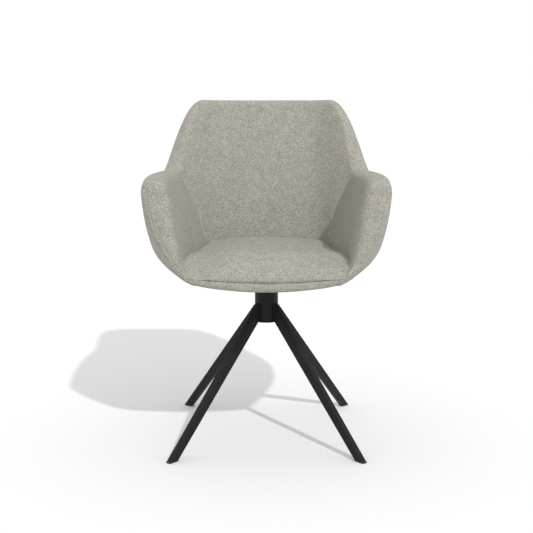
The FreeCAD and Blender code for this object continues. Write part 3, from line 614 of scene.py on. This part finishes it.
def powder_coat():
    """Black powder coat: a fine orange peel and a satin gloss that wanders a little."""
    material = bpy.data.materials.new("black_powder_coat")
    material.use_nodes = True
    nodes, links = material.node_tree.nodes, material.node_tree.links
    shader = nodes["Principled BSDF"]
    place = nodes.new("ShaderNodeTexCoord")
    peel = nodes.new("ShaderNodeTexNoise")
    peel.inputs["Scale"].default_value = 900
    peel.inputs["Detail"].default_value = 2
    cloud = nodes.new("ShaderNodeTexNoise")
    cloud.inputs["Scale"].default_value = 14
    gloss = nodes.new("ShaderNodeMapRange")
    gloss.inputs["To Min"].default_value = 0.42
    gloss.inputs["To Max"].default_value = 0.56
    tint = nodes.new("ShaderNodeValToRGB")
    tint.color_ramp.elements[0].color = (0.006, 0.006, 0.0065, 1)
    tint.color_ramp.elements[1].color = (0.011, 0.011, 0.0115, 1)
    bump = nodes.new("ShaderNodeBump")
    bump.inputs["Strength"].default_value = 0.12
    bump.inputs["Distance"].default_value = 0.0003
    for texture in (peel, cloud):
        links.new(place.outputs["Object"], texture.inputs["Vector"])
    links.new(cloud.outputs["Fac"], gloss.inputs["Value"])
    links.new(gloss.outputs["Result"], shader.inputs["Roughness"])
    links.new(peel.outputs["Fac"], tint.inputs["Fac"])
    links.new(tint.outputs["Color"], shader.inputs["Base Color"])
    links.new(peel.outputs["Fac"], bump.inputs["Height"])
    links.new(bump.outputs["Normal"], shader.inputs["Normal"])
    shader.inputs["Specular IOR Level"].default_value = 0.18
    return material


def dress(piece, material):
    """Gives a piece of the seat its material, smooth shading, body and slot."""
    piece.data.materials.clear()
    piece.data.materials.append(material)
    select_only(piece)
    bpy.ops.object.shade_smooth()
    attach(piece, "seat")


def make_tub():
    """Walls and front border welded into one smooth skin."""
    tub = join("tub", [make_walls(), front_border()])
    apply_modifier(tub, "REMESH", mode="VOXEL", voxel_size=WALL_VOXEL)
    apply_modifier(tub, "SMOOTH", factor=0.5, iterations=3)
    return tub


def cut_between(piece, name, planes):
    """A copy of the piece kept on the positive side of each plane, given as a point and a normal."""
    part = new_piece(name, [], [])
    shape = bmesh.new()
    shape.from_mesh(piece.data)
    for point, normal in planes:
        geometry = list(shape.verts) + list(shape.edges) + list(shape.faces)
        bmesh.ops.bisect_plane(
            shape, geom=geometry, plane_co=Vector(point), plane_no=Vector(normal), clear_inner=True
        )
    shape.to_mesh(part.data)
    shape.free()
    return part


def close_ends(piece):
    """Flat caps over the cut ends, which keep a sharp edge."""
    shape = bmesh.new()
    shape.from_mesh(piece.data)
    rims = [edge for edge in shape.edges if edge.is_boundary]
    for edge in rims:
        edge.smooth = False
    bmesh.ops.holes_fill(shape, edges=rims)
    bmesh.ops.recalc_face_normals(shape, faces=shape.faces)
    shape.to_mesh(piece.data)
    shape.free()


def make_seat():
    """The cushion: the solid's form, puffed by simulation, its underside held where it rests."""
    seat = copy_of("seat_cushion", "seat_cover")
    apply_modifier(seat, "REMESH", mode="VOXEL", voxel_size=SEAT_VOXEL)
    apply_modifier(seat, "SMOOTH", factor=0.5, iterations=4)
    points, normals = points_of(seat), normals_of(seat)

    # Fuller to the sides and the front, and wider where the front meets the arms
    aside = normals.copy()
    aside[:, 1] = np.clip(aside[:, 1], -0.6, 0.6)
    aside[:, 2] = np.clip(aside[:, 2], -0.5, 0)
    points = points + aside * 0.0045
    front = np.clip((-points[:, 1] - 0.12) / 0.16, 0, 1) ** 1.5
    wide = np.clip(np.abs(points[:, 0]) / 0.17, 0, 1) ** 2
    points[:, 0] += np.sign(points[:, 0]) * 0.015 * front * wide

    # The front's lower edge follows the border seam
    seam = np.array([seam_height(across * 1000) for across in points[:, 0]]) * MILLIMETRE - 0.003
    seam -= 0.005 * np.clip((np.abs(points[:, 0]) - 0.13) / 0.03, 0, 1)
    raised = np.maximum(points[:, 2], seam)
    points[:, 2] += (raised - points[:, 2]) * np.clip((-points[:, 1] - 0.16) / 0.06, 0, 1)
    set_points(seat, points)

    puff(seat, 4, 0.005, np.flatnonzero(normals[:, 2] < -0.6))
    apply_modifier(seat, "SMOOTH", factor=0.5, iterations=3)
    apply_modifier(seat, "SUBSURF", levels=1, render_levels=1)
    dress(seat, cloth)
    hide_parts("seat_foam", "seat_cover")


def tube_faces(first, rings, sides):
    """Faces round a capped tube whose rings of points start at the first index."""
    faces = []
    for ring in range(rings - 1):
        for step in range(sides):
            a, b = first + ring * sides + step, first + ring * sides + (step + 1) % sides
            faces.append((a, b, b + sides, a + sides))
    faces.append([first + step for step in range(sides)])
    faces.append([first + (rings - 1) * sides + step for step in range(sides)])
    return faces


def stitch_rows(line, surfaces, vertices, faces):
    """Two rows of short raised stitches, one each side of a seam, laid on the nearest surface."""
    travelled = 0
    for index in range(2, len(line) - 2):
        travelled += np.linalg.norm(line[index] - line[index - 1])
        if travelled < STITCH_PITCH:
            continue
        travelled = 0
        way = way_along(line, index)
        place, up = nearest(surfaces, Vector(line[index] * MILLIMETRE))
        aside = up.cross(way).normalized()
        for side in (-1, 1):
            foot, lift = nearest(surfaces, place + aside * side * STITCH_BESIDE)
            across = lift.cross(way).normalized()
            first = len(vertices)
            for share, size, sink in STITCH_RINGS:
                centre = foot + way * share * STITCH_LENGTH - lift * sink * STITCH_THICK
                for step in range(STITCH_SIDES):
                    angle = 2 * math.pi * step / STITCH_SIDES
                    reach = across * math.cos(angle) + lift * math.sin(angle)
                    vertices.append(centre + reach * STITCH_THICK * size)
            faces.extend(tube_faces(first, len(STITCH_RINGS), STITCH_SIDES))


def make_stitching(lines, surfaces):
    """The double row of stitches along the border seam."""
    vertices, faces = [], []
    for line in lines:
        stitch_rows(line, surfaces, vertices, faces)
    stitching = new_piece("border_stitching", vertices, faces)
    dress(stitching, thread_and_highlight_finish())


def make_welts(lines, surfaces):
    """A narrow raised fold along each seam between an arm and the back, made lighter than the cloth
    with the thread colour as a painted highlight line.
    """
    vertices, faces = [], []
    for line in lines:
        first = len(vertices)
        stops = range(2, len(line) - 2, 2)
        for index in stops:
            way = way_along(line, index)
            place, up = nearest(surfaces, Vector(line[index] * MILLIMETRE))
            across = up.cross(way).normalized()
            for step in range(WELT_SIDES):
                angle = 2 * math.pi * step / WELT_SIDES
                reach = across * math.cos(angle) + up * math.sin(angle)
                vertices.append(place + reach * WELT_THICK)
        faces.extend(tube_faces(first, len(stops), WELT_SIDES))
    welts = new_piece("seam_welts", vertices, faces)
    dress(welts, thread_and_highlight_finish())


def finish_of(name, colour, roughness, metallic=0.0, grain=600, depth=0.0002):
    """A plain finish with fine grain in its colour, gloss and surface."""
    material = bpy.data.materials.new(name)
    material.use_nodes = True
    nodes, links = material.node_tree.nodes, material.node_tree.links
    shader = nodes["Principled BSDF"]
    place = nodes.new("ShaderNodeTexCoord")
    speck = nodes.new("ShaderNodeTexNoise")
    speck.inputs["Scale"].default_value = grain
    speck.inputs["Detail"].default_value = 3
    tint = nodes.new("ShaderNodeValToRGB")
    tint.color_ramp.elements[0].color = (*[part * 0.8 for part in colour], 1)
    tint.color_ramp.elements[1].color = (*[part * 1.2 for part in colour], 1)
    gloss = nodes.new("ShaderNodeMapRange")
    gloss.inputs["To Min"].default_value = roughness - 0.07
    gloss.inputs["To Max"].default_value = roughness + 0.07
    bump = nodes.new("ShaderNodeBump")
    bump.inputs["Strength"].default_value = 0.2
    bump.inputs["Distance"].default_value = depth
    links.new(place.outputs["Object"], speck.inputs["Vector"])
    links.new(speck.outputs["Fac"], tint.inputs["Fac"])
    links.new(tint.outputs["Color"], shader.inputs["Base Color"])
    links.new(speck.outputs["Fac"], gloss.inputs["Value"])
    links.new(gloss.outputs["Result"], shader.inputs["Roughness"])
    links.new(speck.outputs["Fac"], bump.inputs["Height"])
    links.new(bump.outputs["Normal"], shader.inputs["Normal"])
    shader.inputs["Metallic"].default_value = metallic
    return material


# The stitches' thread colour, which also serves as a painted highlight on the welts
def thread_and_highlight_finish():
    return finish_of("seam_thread_and_painted_highlight", THREAD_AND_HIGHLIGHT_COLOUR, 0.8, grain=2500)


def finish_hardware():
    """Materials for the solids that show: base, swivel, fasteners and the lining under the seat."""
    coat = powder_coat()
    moulded = finish_of("moulded_black_plastic", (0.018, 0.018, 0.018), 0.55, grain=1400)
    zinc = finish_of("zinc_plated_steel", (0.5, 0.5, 0.48), 0.32, metallic=1.0, grain=300)
    ply = finish_of("birch_plywood", (0.5, 0.37, 0.23), 0.6, grain=120)
    lining = finish_of("black_lining_cloth", (0.02, 0.02, 0.02), 0.95, grain=1800, depth=0.0006)
    finishes = {
        "black_steel": coat,
        "glide_plastic": moulded,
        "cap_plastic": moulded,
        "bearing_plastic": moulded,
        "zinc_steel": zinc,
        "plywood": ply,
        "liner_fabric": lining,
    }
    for entry in frame["record"]["subparts"]:
        material = finishes.get(entry["material_slot"])
        if material:
            node = frame["nodes"][entry["node"]]
            node.data.materials.clear()
            node.data.materials.append(material)


def make_lining():
    """The lining under the seat, its front corners drawn back so that the border hides them."""
    lining = copy_of("lining", "bottom_liner")
    shape = bmesh.new()
    shape.from_mesh(lining.data)
    long_edges = [edge for edge in shape.edges if edge.calc_length() > 0.03]
    bmesh.ops.subdivide_edges(shape, edges=long_edges, cuts=12)
    shape.to_mesh(lining.data)
    shape.free()
    points = points_of(lining)
    drawn = np.interp(np.abs(points[:, 0]), (0.09, 0.15), (0, 0.06))
    ahead = np.clip((-0.15 - points[:, 1]) / (-0.15 - points[:, 1].min()), 0, 1)
    points[:, 1] += drawn * ahead
    set_points(lining, points)
    dress(lining, frame["nodes"]["bottom_liner"].data.materials[0])
    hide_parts("bottom_liner")


def make_arms_and_back(tub, lines):
    """The tub's skin cut at the seams into two arms and the back, each pressed in along its seams."""
    turn = math.radians(180 - SEAM_ANGLE)
    corner = (CORNER_CENTRE * MILLIMETRE, REAR_PLACE * MILLIMETRE, 0)
    left_plane = ((-corner[0], corner[1], 0), (-math.sin(turn), -math.cos(turn), 0))
    right_plane = (corner, (math.sin(turn), -math.cos(turn), 0))
    behind_left, behind_right = [
        (point, tuple(-part for part in normal)) for point, normal in (left_plane, right_plane)
    ]
    arm_left = cut_between(tub, "arm_left", [left_plane, ((0, 0, 0), (-1, 0, 0))])
    arm_right = cut_between(tub, "arm_right", [right_plane, ((0, 0, 0), (1, 0, 0))])
    back = cut_between(tub, "back", [behind_left, behind_right, ((0, 0.05, 0), (0, 1, 0))])
    bpy.data.objects.remove(tub)
    for piece in (arm_left, arm_right, back):
        apply_modifier(piece, "SUBSURF", levels=1, render_levels=1)
        press_along(piece, lines)
        close_ends(piece)
        dress(piece, cloth)
    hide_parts("arm_cover_left", "arm_foam_left", "front_rail_cover", "front_rail")
    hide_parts("arm_cover_right", "arm_foam_right")
    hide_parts("back_cover", "back_foam", "seat_shell")
    return arm_left, arm_right, back


# The chair, put together

make_camera()
make_floor()
make_lights()
cloth = fabric("boucle", CLOTH_COLOUR)
tub = make_tub()
tub_surface = surface_of(tub)
front_seam = [(across, NOSE_FRONT + 1, seam_height(across)) for across in np.linspace(-175, 175, 60)]
border_seams = [densely(seam_line(-1)), densely(seam_line(1)), densely(front_seam)]
back_seams = [densely(back_seam(-1, tub_surface)), densely(back_seam(1, tub_surface))]
walls = make_arms_and_back(tub, border_seams[:2] + back_seams + border_seams[2:])
make_seat()
finish_hardware()
make_lining()
wall_surfaces = [surface_of(piece) for piece in walls]
make_stitching(border_seams, wall_surfaces)
make_welts(back_seams, wall_surfaces)
